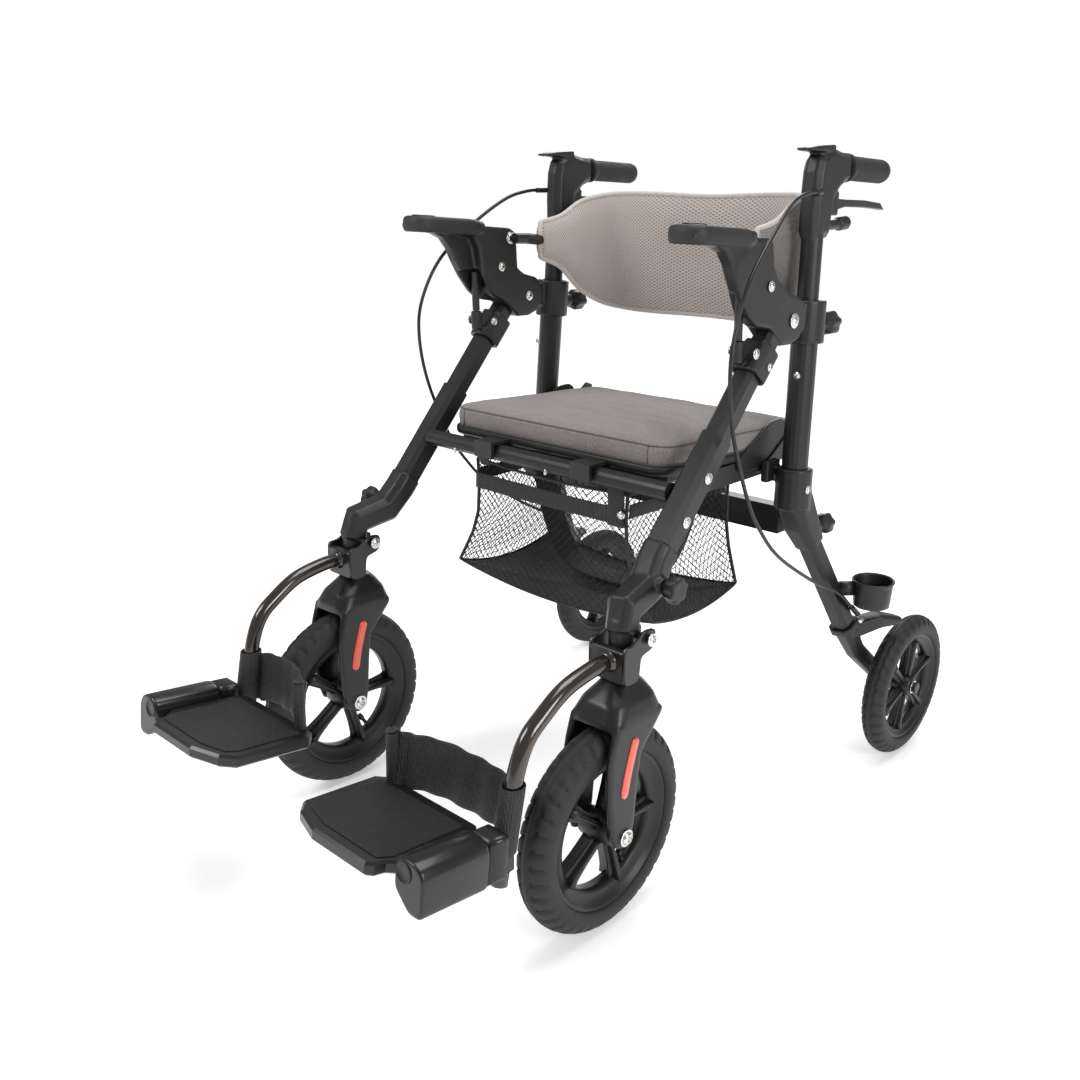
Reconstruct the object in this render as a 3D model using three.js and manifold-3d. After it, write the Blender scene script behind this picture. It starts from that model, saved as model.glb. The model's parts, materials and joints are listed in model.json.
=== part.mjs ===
// Folding four-wheel rollator that doubles as a transport chair: millimetres, +Z up,
// the walker's front towards -Y, and its left side (x > 0) mirrored to its right.
import * as THREE from 'three';
import { mergeVertices } from 'three/addons/utils/BufferGeometryUtils.js';
import Module from 'manifold-3d';

const wasm = await Module();
wasm.setup();

// ---- driving dimensions -------------------------------------------------------------
const CENTRE_Y = 151;                // moves the drawing origin to the middle of the footprint
const GAP = 0.35;                    // clearance between neighbouring pieces

const LEG_X = 226;                   // middle plane of a front leg
const LEG_BOLT = [-206, 479];        // (y, z) of a point on the leg's centre line
const LEG_DIR = [0.663, 0.749];      // unit direction of the leg, upwards and to the rear
const LEG_UPPER = 27;
const LEG_LOWER = 32;
const FOLD_PIVOT = [-22, 665];       // (y, z) of the main folding pivot
const UP_FOOT = [224, 34, 470];      // axis of the upright at its foot
const UP_SLOPE = [-0.0288, 0.0515];  // change of x and y with height: the uprights lean
const UP_R = 17;
const POST_R = 13.6;

const FRONT_WHEEL = { x: 241.4, y: -365, r: 127, width: 44, rim: 97, open: 76, hub: 17, spokes: 5 };
const REAR_WHEEL = { x: 302, y: 260, r: 107, width: 32, rim: 82, open: 66, hub: 14, spokes: 6 };
const WHEEL_SIDES = 28;
const STEER = [241, -335];           // caster axis (x, y)

const SEAT_HALF = 186;
const SEAT_FRONT = -197;
const SEAT_REAR = 105;
const SEAT_TILT = -2.6;              // degrees, front edge up
const SEAT_PIVOT = [13, 466];        // (y, z)
const CROSSBAR = [-215, 484];        // (y, z) of the front crossbar
const CROSSBAR_R = 11;

const PLATE_TILT = -7;               // degrees, toe edge up
const PLATE_PIVOT = [-555, 200];     // (y, z) about which the plate is tilted
const FLIP_X = 240;                  // the footplate's hinge line

// ---- materials ----------------------------------------------------------------------
function paint(color, roughness, metalness) {
  return new THREE.MeshStandardMaterial({ color, roughness, metalness });
}
const FRAME = () => paint(0x1d1d1f, 0.55, 0.4);
const PLASTIC = () => paint(0x18181a, 0.6, 0);
const GLOSS = () => paint(0x17130f, 0.22, 0.7);
const RUBBER = () => paint(0x1b1b1b, 0.85, 0);
const CUSHION = () => paint(0x8a827b, 0.95, 0);
const AIR_MESH = () => paint(0xc3b9ae, 0.95, 0);
const WEBBING = () => paint(0x161616, 0.9, 0);

// ---- geometry helpers ---------------------------------------------------------------
const V = (x, y, z) => new THREE.Vector3(x, y, z);

function solid(source) {
  let geometry = source.clone();
  geometry.deleteAttribute('normal');
  geometry.deleteAttribute('uv');
  geometry = mergeVertices(geometry, 1e-4);
  const p = geometry.attributes.position;
  const index = geometry.index.array;
  const kept = [];
  let volume = 0;
  for (let i = 0; i < index.length; i += 3) {
    const [a, b, c] = [index[i], index[i + 1], index[i + 2]];
    if (a === b || b === c || a === c) continue;
    kept.push(a, b, c);
    const [va, vb, vc] = [a, b, c].map((k) => V(p.getX(k), p.getY(k), p.getZ(k)));
    volume += va.dot(vb.cross(vc));
  }
  if (volume < 0) kept.reverse();
  return new wasm.Manifold(new wasm.Mesh({
    numProp: 3,
    vertProperties: new Float32Array(p.array),
    triVerts: new Uint32Array(kept),
  }));
}

function bufferOf(shape, flip) {
  const mesh = shape.getMesh();
  const points = Float32Array.from(mesh.vertProperties);
  const index = Array.from(mesh.triVerts);
  if (flip) {
    for (let i = 0; i < points.length; i += 3) points[i] *= -1;
    index.reverse();
  }
  const geometry = new THREE.BufferGeometry();
  geometry.setAttribute('position', new THREE.BufferAttribute(points, 3));
  geometry.setIndex(index);
  geometry.computeVertexNormals();
  return geometry;
}

function union(...shapes) {
  return shapes.reduce((all, shape) => all.add(shape));
}

function box(x0, x1, y0, y1, z0, z1) {
  const geometry = new THREE.BoxGeometry(x1 - x0, y1 - y0, z1 - z0);
  geometry.translate((x0 + x1) / 2, (y0 + y1) / 2, (z0 + z1) / 2);
  return solid(geometry);
}

function rod(a, b, radius, sides = 16, endRadius = radius) {
  const along = b.clone().sub(a);
  const geometry = new THREE.CylinderGeometry(endRadius, radius, along.length(), sides);
  const turn = new THREE.Quaternion().setFromUnitVectors(V(0, 1, 0), along.clone().normalize());
  geometry.applyQuaternion(turn);
  const middle = a.clone().add(b).multiplyScalar(0.5);
  geometry.translate(middle.x, middle.y, middle.z);
  return solid(geometry);
}

function rodX(x0, x1, y, z, radius, sides = 16) {
  return rod(V(x0, y, z), V(x1, y, z), radius, sides);
}

function loft(rings) {
  const n = rings[0].length;
  const points = rings.flat();
  const index = [];
  for (let i = 0; i < rings.length - 1; i++) {
    for (let j = 0; j < n; j++) {
      const a = i * n + j;
      const b = i * n + ((j + 1) % n);
      index.push(a, b, b + n, a, b + n, a + n);
    }
  }
  for (const end of [0, rings.length - 1]) {
    const middle = rings[end].reduce((sum, p) => sum.add(p), V(0, 0, 0)).divideScalar(n);
    const centre = points.push(middle) - 1;
    for (let j = 0; j < n; j++) {
      const a = end * n + j;
      const b = end * n + ((j + 1) % n);
      index.push(...(end ? [a, b, centre] : [b, a, centre]));
    }
  }
  const geometry = new THREE.BufferGeometry().setFromPoints(points);
  geometry.setIndex(index);
  return solid(geometry);
}

// A chamfered rectangular section swept through the points; its width lies near world X.
function beam(path, width, depth, chamfer) {
  const size = (value, i) => (Array.isArray(value) ? value[i] : value);
  return loft(path.map((p, i) => {
    const before = path[Math.max(i - 1, 0)];
    const after = path[Math.min(i + 1, path.length - 1)];
    const along = after.clone().sub(before).normalize();
    const ex = V(1, 0, 0).addScaledVector(along, -along.x).normalize();
    const ey = along.clone().cross(ex);
    const w = size(width, i) / 2;
    const d = size(depth, i) / 2;
    const c = chamfer;
    const corners = [[w, d - c], [w - c, d], [c - w, d], [-w, d - c], [-w, c - d], [c - w, -d], [w - c, -d], [w, c - d]];
    return corners.map(([u, v]) => p.clone().addScaledVector(ex, u).addScaledVector(ey, v));
  }));
}

function outline(points) {
  return new THREE.Shape(points.map(([u, v]) => new THREE.Vector2(u, v)));
}

function slab(points, from, to, basis, bevel) {
  const geometry = new THREE.ExtrudeGeometry(outline(points), {
    depth: to - from - 2 * bevel,
    bevelEnabled: bevel > 0,
    bevelThickness: bevel,
    bevelSize: bevel,
    bevelOffset: -bevel,
    bevelSegments: 1,
    curveSegments: 8,
  });
  geometry.translate(0, 0, from + bevel);
  geometry.applyMatrix4(new THREE.Matrix4().makeBasis(...basis));
  return solid(geometry);
}
const sideSlab = (points, x0, x1, bevel = 0) => slab(points, x0, x1, [V(0, 1, 0), V(0, 0, 1), V(1, 0, 0)], bevel);
const planSlab = (points, z0, z1, bevel = 0) => slab(points, z0, z1, [V(1, 0, 0), V(0, 1, 0), V(0, 0, 1)], bevel);

function rounded(x0, x1, y0, y1, radius, steps = 3) {
  const points = [];
  const corners = [[x1 - radius, y1 - radius], [x0 + radius, y1 - radius], [x0 + radius, y0 + radius], [x1 - radius, y0 + radius]];
  corners.forEach(([cx, cy], k) => {
    for (let i = 0; i <= steps; i++) {
      const angle = (k + i / steps) * Math.PI / 2;
      points.push([cx + radius * Math.cos(angle), cy + radius * Math.sin(angle)]);
    }
  });
  return points;
}

function pipe(points, radius, sides, steps) {
  const circle = new THREE.Shape();
  circle.absarc(0, 0, radius, 0, Math.PI * 2);
  const path = new THREE.CatmullRomCurve3(points.map((p) => V(...p)), false, 'centripetal');
  return solid(new THREE.ExtrudeGeometry(circle, { extrudePath: path, steps, curveSegments: sides / 2 }));
}

// A solid of revolution about world X, centred on the origin; the profile is [x, radius].
function turned(profile, sides) {
  const geometry = new THREE.LatheGeometry(profile.map(([x, r]) => new THREE.Vector2(r, x)), sides);
  geometry.rotateZ(-Math.PI / 2);
  return solid(geometry);
}

function tilted(shape, degrees, y, z) {
  return shape.translate([0, -y, -z]).rotate([degrees, 0, 0]).translate([0, y, z]);
}

// ---- scene graph --------------------------------------------------------------------
const group = new THREE.Group();
group.name = 'rollator';
group.position.y = CENTRE_Y;

function add(name, shape, material, at = [0, 0, 0], flip = false) {
  const mesh = new THREE.Mesh(bufferOf(shape, flip), material());
  mesh.name = name;
  mesh.position.set(flip ? -at[0] : at[0], at[1], at[2]);
  group.add(mesh);
}

function both(name, shape, material, at) {
  add(`left_${name}`, shape, material, at);
  add(`right_${name}`, shape, material, at, true);
}

// ---- stations -----------------------------------------------------------------------
const onLeg = (t, off = 0, x = LEG_X) => V(
  x,
  LEG_BOLT[0] + t * LEG_DIR[0] + off * LEG_DIR[1],
  LEG_BOLT[1] + t * LEG_DIR[1] - off * LEG_DIR[0],
);
const onUpright = (z) => V(UP_FOOT[0] + (z - UP_FOOT[2]) * UP_SLOPE[0], UP_FOOT[1] + (z - UP_FOOT[2]) * UP_SLOPE[1], z);

// ---- rear frame: brackets, rear legs, uprights --------------------------------------
const lugHole = rodX(190, 210, ...SEAT_PIVOT, 4.5, 12);
const rearLegDir = V(27, 65, -129).normalize();
const onRearLeg = (t) => V(235, 67, 362).addScaledVector(rearLegDir, t);
const rearBracket = union(
  rod(onUpright(416), onUpright(469.7), 24, 16),
  beam([V(225.4, 32, 438), onRearLeg(-36), onRearLeg(0)], [40, 42, 36], [44, 44, 36], 9),
  box(195.5, 206, -2, 28, 452, 480),
  rod(V(231, 60, 378), V(231, 96, 378), 9, 10),
).subtract(lugHole);
both('rear_bracket', rearBracket, PLASTIC);

const rearLeg = beam([onRearLeg(GAP), onRearLeg(147)], 28, 28, 6);
both('rear_leg', rearLeg, FRAME);
both('rear_knob', rod(V(0, 0, 0), V(0, 6, 0), 11, 10).add(rod(V(0, 4, 0), V(0, 22, 0), 15, 10)), PLASTIC, [231, 96.8, 378]);

const wheelAxle = (wheel, x0, x1, radius) => rodX(x0, x1, wheel.y, wheel.r, radius, 12);
const forkFoot = V(271, REAR_WHEEL.y - 4, REAR_WHEEL.r + 2);
const rearFork = union(
  beam([onRearLeg(147 + GAP), onRearLeg(159)], 36, 36, 7),
  beam([onRearLeg(154), V(266, 168, 182), forkFoot], [27, 22, 18], [30, 26, 24], 5),
  wheelAxle(REAR_WHEEL, 264, 284.5, 15),
  wheelAxle(REAR_WHEEL, 280, 324, 5.6),
  wheelAxle(REAR_WHEEL, 320.5, 326, 9),
  beam([V(268, 146, 222), V(290, 180, 232), V(304, 214, 226)], [24, 26, 22], [26, 20, 11], 3),
);
both('rear_fork', rearFork, PLASTIC);

const uprightTube = rod(onUpright(470), onUpright(680), UP_R, 18).subtract(rod(onUpright(460), onUpright(690), POST_R + 0.6, 18));
both('upright_tube', uprightTube, FRAME);

const clamp = union(
  rod(onUpright(630), onUpright(683), 24, 18),
  sideSlab([[FOLD_PIVOT[0], 651], [40, 648], [40, 680], [FOLD_PIVOT[0], 679]], 214, 228),
  rodX(214, 228, ...FOLD_PIVOT, 14, 16),
  rod(V(219, 60, 651), V(219, 82, 650), 10, 12),
).subtract(rod(onUpright(610), onUpright(700), UP_R + GAP, 18)).subtract(rodX(200, 240, ...FOLD_PIVOT, 5.6, 12));
both('clamp', clamp, PLASTIC);
both('clamp_knob', rod(V(0, 0, 0), V(0, 8, 0), 11, 10).add(rod(V(0, 6, 0), V(0, 26, 0), 16, 10)), PLASTIC, [219, 82.8, 650]);

add('rear_crossbar', box(-203.6, 203.6, 36, 56, 374, 412), FRAME);

// ---- telescopic handles -------------------------------------------------------------
const handleSide = [
  [50, 860], [72, 864], [94, 859], [115, 857], [115, 825], [98, 819], [78, 804],
  [73, 757], [35, 757], [34, 800], [36, 836], [41, 852],
];
const leverPivot = [84, 797];
const handlePost = union(
  rod(onUpright(520), onUpright(765), POST_R, 18),
  sideSlab(handleSide, 199, 229, 8),
  beam([V(214, 72, 862), V(214, 40, 862), V(214, 16, 861)], [26, 28, 20], [10, 7, 3], 1),
  sideSlab([[70, 784], [92, 784], [92, 812], [70, 812]], 203, 225, 1),
  rod(V(214, 110, 841), V(212.6, 196, 837.6), 10, 12),
  rod(V(214, 66, 771), V(214, 114, 773), 6.5, 12),
  rod(V(214, 112, 773), V(214, 132, 774), 9, 12),
).subtract(box(208, 220, 73.5, 97, 780, 820)).add(rodX(204, 224, ...leverPivot, 3, 10));
both('handle_post', handlePost, PLASTIC);

const gripAxis = [V(213.86, 116.2, 840.7), V(212.2, 219, 836.4)];
const grip = rod(gripAxis[0], gripAxis[1], 15, 16).add(
  rod(gripAxis[0], gripAxis[0].clone().lerp(gripAxis[1], 0.06), 17.5, 16),
).subtract(rod(V(214.1, 108, 841.1), V(212.5, 198, 837.6), 10.5, 12));
both('grip', grip, RUBBER);

const leverSide = [
  [76, 800], [84, 804.5], [120, 802.5], [170, 801], [212, 797], [222, 788], [214, 789],
  [170, 792], [120, 793.5], [88, 789.5], [76, 793],
];
both('brake_lever', sideSlab(leverSide, 208.5, 219.5, 1).subtract(rodX(200, 230, ...leverPivot, 3.4, 10)), GLOSS);

const cablePath = [
  [231, 34, 812], [233, 4, 811], [237, -38, 800], [248, -93, 766], [257, -148, 720], [262, -179, 665],
  [263, -185, 614], [263, -171, 548], [263, -134, 467], [263, -100, 420], [264, -55, 377], [267, 27, 325],
  [273, 88, 293], [275.5, 120, 267], [276, 146, 246],
];
both('brake_cable', pipe(cablePath, 2.4, 6, 28), RUBBER);

// ---- front frame: legs, knees, crossbar ---------------------------------------------
const legStep = 82;
const legTop = 224.6;
const legFoot = -64.5;
const frontLeg = union(
  beam([onLeg(legStep - 30), onLeg(legTop)], LEG_UPPER, LEG_UPPER, 5),
  beam([onLeg(legFoot), onLeg(legStep)], LEG_LOWER, LEG_LOWER, 6),
);
both('front_leg', frontLeg, FRAME);

const kneeBend = [
  onLeg(legFoot - GAP), onLeg(legFoot - 18), onLeg(legFoot - 52, 0, 231), V(238, STEER[1] + 6, 382), V(...STEER, 358),
];
const hookPin = [-320, 351];
const kneeSocket = union(
  beam(kneeBend, [37, 37, 37, 35, 34], [37, 37, 38, 38, 34], 8),
  rod(V(...STEER, 306.5), V(...STEER, 372), 15, 16),
  box(232, 250, STEER[1] + 4, -311, 342, 360),
  rodX(211, 271, ...hookPin, 4.6, 12),
  rodX(230, 255.6, -279, 397, 11, 10),
);
both('knee_socket', kneeSocket, PLASTIC);
both('knee_knob', rodX(0, 5, 0, 0, 9, 10).add(rodX(4, 20, 0, 0, 16, 10)), PLASTIC, [256.2, -279, 397]);

add('front_crossbar', rodX(-209.6, 209.6, ...CROSSBAR, CROSSBAR_R, 16), FRAME);

const bladeSide = [
  [-381, 268], [-390, 240], [-394, 221], [-393, 176], [-388, 140], [-380, 117], [-365, 110],
  [-351, 116], [-346, 140], [-342, 184], [-337, 222], [-316, 245], [-302, 260], [-300, 268],
];
const crownRings = [                 // half width, front, rear, height, corner radius
  [35.3, -385, -300, 258, 14], [34.5, -383, -299, 270, 15], [30, -377, -301, 284, 18],
  [22, -365, -307, 296, 19], [17.5, -353, -317, 305.8, 17],
];
const crown = loft(crownRings.map(([half, front, rear, z, radius]) => (
  rounded(STEER[0] - half, STEER[0] + half, front, rear, radius, 3).map(([x, y]) => V(x, y, z)))));
const forkSpread = [26.5, 35.5];
const casterFork = union(
  sideSlab(bladeSide, FRONT_WHEEL.x + forkSpread[0], FRONT_WHEEL.x + forkSpread[1], 3),
  sideSlab(bladeSide, FRONT_WHEEL.x - forkSpread[1], FRONT_WHEEL.x - forkSpread[0], 3),
  crown,
  wheelAxle(FRONT_WHEEL, FRONT_WHEEL.x - 38, FRONT_WHEEL.x + 38, 5),
  wheelAxle(FRONT_WHEEL, FRONT_WHEEL.x - 39, FRONT_WHEEL.x - 35, 9),
  wheelAxle(FRONT_WHEEL, FRONT_WHEEL.x + 35, FRONT_WHEEL.x + 39, 9),
);
both('caster_fork', casterFork, PLASTIC);

// ---- wheels -------------------------------------------------------------------------
function tyre(wheel) {
  const w = wheel.width / 2;
  const inner = wheel.rim + GAP;
  const depth = wheel.r - inner;
  return turned([
    [-w * 0.75, inner], [-w, inner + depth * 0.45], [-w * 0.5, wheel.r], [w * 0.5, wheel.r],
    [w, inner + depth * 0.45], [w * 0.75, inner], [-w * 0.75, inner],
  ], WHEEL_SIDES);
}

function rim(wheel, bore) {
  const w = wheel.width / 2;
  const ring = turned([
    [-w * 0.8, wheel.rim], [-w * 0.4, wheel.open], [w * 0.4, wheel.open], [w * 0.8, wheel.rim], [-w * 0.8, wheel.rim],
  ], WHEEL_SIDES);
  const hub = rodX(-w, w, 0, 0, wheel.hub, 14);
  let all = ring.add(hub);
  for (let i = 0; i < wheel.spokes; i++) {
    const spoke = box(-6, 6, -6, 6, wheel.hub - 4, wheel.open + 3);
    all = all.add(spoke.rotate([(360 * i) / wheel.spokes, 0, 0]));
  }
  return all.subtract(rodX(-60, 60, 0, 0, bore, 12));
}
both('front_tyre', tyre(FRONT_WHEEL), RUBBER, [FRONT_WHEEL.x, FRONT_WHEEL.y, FRONT_WHEEL.r]);
both('front_rim', rim(FRONT_WHEEL, 5.6), PLASTIC, [FRONT_WHEEL.x, FRONT_WHEEL.y, FRONT_WHEEL.r]);
both('rear_tyre', tyre(REAR_WHEEL), RUBBER, [REAR_WHEEL.x, REAR_WHEEL.y, REAR_WHEEL.r]);
both('rear_rim', rim(REAR_WHEEL, 6.2), PLASTIC, [REAR_WHEEL.x, REAR_WHEEL.y, REAR_WHEEL.r]);

// ---- armrests and struts ------------------------------------------------------------
const legEnd = [onLeg(225, -16.5), onLeg(225, 16.5)];
const armOuter = [
  [-231, 766], [-184, 757], [-168, 750], [-156, 736], [-147, 719], [-134, 698], [-116, 676], [-100, 664],
  [legEnd[0].y, legEnd[0].z], [legEnd[1].y, legEnd[1].z], [-22, 636], [-4, 642], [6, 655], [8, 668], [4, 682],
  [-6, 691], [-34, 699], [-58, 716], [-74, 738], [-86, 757], [-98, 764], [-228, 776],
];
const armInner = [
  [-150, 758], [-128, 752], [-119, 736], [-112, 700], [-97, 672], [legEnd[0].y, legEnd[0].z],
  [legEnd[1].y, legEnd[1].z], [-22, 636], [-4, 642], [6, 655], [8, 668], [4, 682], [-6, 691], [-30, 697],
  [-44, 706], [-46, 738], [-50, 757], [-60, 762], [-110, 766],
];
const armPad = planSlab(rounded(197, 245, -232, -104, 20, 2), 764, 781, 4);
const armrest = union(
  sideSlab(armOuter, 221, 240, 3),
  sideSlab(armInner, 204, 224, 2),
  tilted(armPad, -4, -232, 772),
).subtract(box(213.6, 228.4, -40, 20, 640, 700)).add(rodX(210, 232, ...FOLD_PIVOT, 5.1, 12))
  .subtract(box(214, 230, -140, -101, 640, 706))
  .subtract(rodX(190, 216, -60, 748, 5.6, 12));
both('armrest', armrest, PLASTIC);

both('strut', rod(V(222, -112, 649.5), V(222, -114, 703), 5.2, 10), FRAME);
const strutCollar = union(
  beam([onLeg(168), onLeg(210)], 38, 38, 7),
  rod(V(222, -112, 648.5), V(222, -111, 622), 8, 10),
).subtract(beam([onLeg(150), onLeg(224)], LEG_UPPER + 2 * GAP, LEG_UPPER + 2 * GAP, 5));
both('strut_collar', strutCollar, PLASTIC);

// ---- seat ---------------------------------------------------------------------------
const seatMiddle = (SEAT_FRONT + SEAT_REAR) / 2;
const cushion = planSlab(rounded(-SEAT_HALF, SEAT_HALF, SEAT_FRONT, SEAT_REAR, 26), 494.6, 527, 6);
add('seat_cushion', tilted(cushion, SEAT_TILT, seatMiddle, 494), CUSHION);

const gussetSide = [[10, 470], [98, 474], [104, 486], [103, 520], [92, 524]];
let board = planSlab(rounded(4 - SEAT_HALF, SEAT_HALF - 4, SEAT_FRONT + 6, SEAT_REAR - 6, 22), 476, 494.2, 3);
board = tilted(board, SEAT_TILT, seatMiddle, 494);
for (const side of [-1, 1]) {
  const clipX = side * 85;
  board = board.add(box(clipX - 16, clipX + 16, -233, -180, 495.5, 499.7))
    .add(box(clipX - 16, clipX + 16, -233, -228, 478, 498))
    .add(box(clipX - 16, clipX + 16, -200, -180, 486, 498));
  const [near, far] = [side * 181, side * 187];
  board = board.add(box(Math.min(near, far), Math.max(near, far), -140, 26, 458, 484))
    .add(sideSlab(gussetSide, Math.min(near, far) + side * 5.6, Math.max(near, far) + side * 5.6, 1));
  board = board.add(rod(V(side * 184, ...SEAT_PIVOT), V(side * 204, ...SEAT_PIVOT), 4, 12));
}
add('seat_board', board, PLASTIC);

// ---- shopping basket ----------------------------------------------------------------
function basketShape(inset) {
  const ring = (half, front, rear, z) => rounded(-half + inset, half - inset, front + inset, rear - inset, 14, 1)
    .map(([x, y]) => V(x, y, z));
  return loft([
    ring(172, -188, -14, 288 + inset),
    ring(180, -196, -6, 312),
    ring(168, -196, -10, 380),
    ring(150, -192, -14, inset ? 441 : 440),
  ]);
}
add('basket', basketShape(0).subtract(basketShape(2.2)), WEBBING);

// ---- backrest -----------------------------------------------------------------------
const barHalf = 191;
const barPath = [
  [barHalf, -64, 748], [barHalf, -50, 748], [181, -22, 745], [180, 20, 741], [178, 60, 734], [170, 96, 728],
  [150, 120, 725], [100, 132, 723], [0, 136, 722], [-100, 132, 723], [-150, 120, 725], [-170, 96, 728],
  [-178, 60, 734], [-180, 20, 741], [-181, -22, 745], [-barHalf, -50, 748], [-barHalf, -64, 748],
];
const bar = union(pipe(barPath, 7.5, 8, 32), rodX(188, 202, -60, 748, 5, 10), rodX(-202, -188, -60, 748, 5, 10));
add('backrest_bar', bar, FRAME);

const padStations = [
  [181, -22, 745, 24], [180, 20, 741, 36], [178, 60, 734, 62], [170, 96, 728, 76], [150, 120, 725, 82],
  [100, 132, 723, 84], [0, 136, 722, 82],
];
const padPath = [...padStations, ...padStations.slice(0, -1).reverse().map(([x, y, z, h]) => [-x, y, z, h])];
const padRings = padPath.map(([x, y, z, half], i) => {
  const before = padPath[Math.max(i - 1, 0)];
  const after = padPath[Math.min(i + 1, padPath.length - 1)];
  const along = V(after[0] - before[0], after[1] - before[1], 0).normalize();
  const across = V(-along.y, along.x, 0);
  const thick = 11.5;
  const profile = [
    [thick, half - 8], [thick - 6, half], [6 - thick, half], [-thick, half - 8],
    [-thick, 8 - half], [6 - thick, -half], [thick - 6, -half], [thick, 8 - half],
  ];
  return profile.map(([u, v]) => V(x, y, z + v).addScaledVector(across, u));
});
add('backrest_pad', loft(padRings).subtract(pipe(barPath, 8.4, 8, 32)), AIR_MESH);

// ---- footrests ----------------------------------------------------------------------
const tubePath = [
  [243, -355, 330], [243, -390, 329], [243, -430, 321], [243, -463, 303], [243, -487, 284],
  [243, -502, 254], [243, -514, 205], [243, -524, 158], [243, -529, 134],
];
const bracketSide = [
  [-361, 350], [-361, 310], [-356, 306], [-336, 305], [-333, 334], [-313, 339], [-309, 346], [-309, 360],
  [-326, 362], [-345, 352],
];
const housing = tilted(union(
  sideSlab([[-560, 158], [-648, 158], [-648, 216], [-560, 216]], 254, 275, 3),
  sideSlab([[-538, 158], [-562, 158], [-562, 212], [-538, 212]], 232, 268, 2),
  rod(V(FLIP_X, -550, 199), V(FLIP_X, -652, 199), 5, 12),
), PLATE_TILT, ...PLATE_PIVOT);
const footrest = union(
  sideSlab(bracketSide, 215, 219.5, 1),
  sideSlab(bracketSide, 262.5, 267, 1),
  box(216, 266, -361, -351.5, 308, 344),
  pipe(tubePath, 9.5, 10, 18),
  housing,
  box(234, 252, -545, -522, 152, 178),
).subtract(rodX(200, 280, ...hookPin, 5.2, 12));
both('footrest', footrest, GLOSS);

const plateOutline = [
  [62, -545], [76, -531], [214, -531], [224, -541], [227, -560], [227, -636], [214, -650], [212, -662], [204, -668],
  [120, -668], [80, -655], [64, -640],
];
const footplate = tilted(union(
  planSlab(plateOutline, 182, 197, 3),
  rod(V(FLIP_X, -566, 199), V(FLIP_X, -650, 199), 11.5, 16),
  box(220, 240, -634, -568, 186, 196),
  rod(V(88, -540, 190), V(88, -538, 258), 4.5, 10),
).subtract(rod(V(FLIP_X, -540, 199), V(FLIP_X, -660, 199), 5.5, 12)), PLATE_TILT, ...PLATE_PIVOT);
both('footplate', footplate, PLASTIC);

const strapPath = [[95, -534], [112, -524], [138, -513], [170, -505], [200, -503], [226, -509]];
const strapRings = strapPath.map(([x, y], i) => {
  const before = strapPath[Math.max(i - 1, 0)];
  const after = strapPath[Math.min(i + 1, strapPath.length - 1)];
  const across = V(before[1] - after[1], after[0] - before[0], 0).normalize().multiplyScalar(1.25);
  const [top, bottom] = [V(x, y, 252), V(x, y, 207)];
  return [top.clone().add(across), top.clone().sub(across), bottom.clone().sub(across), bottom.clone().add(across)];
});
both('calf_strap', loft(strapRings), WEBBING);

// ---- cup holder on the left rear leg -------------------------------------------------
const cupAt = [295, 145];
const cup = union(
  rod(V(...cupAt, 264), V(...cupAt, 302), 25, 20, 27.5),
  rod(V(...cupAt, 299), V(...cupAt, 303), 29, 20),
  box(269.4, 281, 112, 133, 279, 301),
).subtract(rod(V(...cupAt, 268), V(...cupAt, 312), 22.5, 20, 25.5));
add('cup_holder', cup, PLASTIC);

export default group;
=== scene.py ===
import json
import math

import bpy
from mathutils import Matrix, Vector, noise

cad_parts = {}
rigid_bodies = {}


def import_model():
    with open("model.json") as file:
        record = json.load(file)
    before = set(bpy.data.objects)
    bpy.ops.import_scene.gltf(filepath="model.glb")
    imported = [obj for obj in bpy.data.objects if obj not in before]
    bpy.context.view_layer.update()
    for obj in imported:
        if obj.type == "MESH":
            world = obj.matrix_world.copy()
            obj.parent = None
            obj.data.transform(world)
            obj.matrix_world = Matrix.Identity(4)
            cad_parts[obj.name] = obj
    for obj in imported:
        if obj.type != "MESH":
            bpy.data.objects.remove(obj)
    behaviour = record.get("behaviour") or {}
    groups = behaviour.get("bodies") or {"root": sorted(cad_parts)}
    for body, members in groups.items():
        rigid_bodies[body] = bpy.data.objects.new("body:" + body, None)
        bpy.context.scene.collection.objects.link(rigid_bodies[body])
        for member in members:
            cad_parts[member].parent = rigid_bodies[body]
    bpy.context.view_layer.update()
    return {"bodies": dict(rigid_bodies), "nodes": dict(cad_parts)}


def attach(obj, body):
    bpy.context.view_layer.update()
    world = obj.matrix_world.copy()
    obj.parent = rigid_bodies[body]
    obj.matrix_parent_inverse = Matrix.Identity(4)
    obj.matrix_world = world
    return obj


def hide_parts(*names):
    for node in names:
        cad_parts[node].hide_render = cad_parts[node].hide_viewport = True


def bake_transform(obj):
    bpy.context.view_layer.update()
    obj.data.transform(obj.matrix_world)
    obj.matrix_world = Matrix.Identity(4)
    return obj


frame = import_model()
cad = frame["nodes"]

SIDES = {"left": 1, "right": -1}
MID_Y = 151                      # the drawing's y origin lies this far in front of the frame's, in mm


def at(x, y, z):
    """A drawing point in millimetres as a point of the frame in metres."""
    return Vector((x / 1000, (y + MID_Y) / 1000, z / 1000))


# ---- camera, light, floor -----------------------------------------------------------
camera = bpy.data.objects.new("camera", bpy.data.cameras.new("camera"))
bpy.context.scene.collection.objects.link(camera)
bpy.context.scene.camera = camera
camera.data.sensor_width = 36
camera.data.lens = 36.24
camera.location = at(934.5, -1191.35, 823.45)
camera.rotation_euler = (math.radians(90 - 18.217), 0, math.radians(43.675))
bpy.context.scene.view_settings.view_transform = "Standard"

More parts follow.
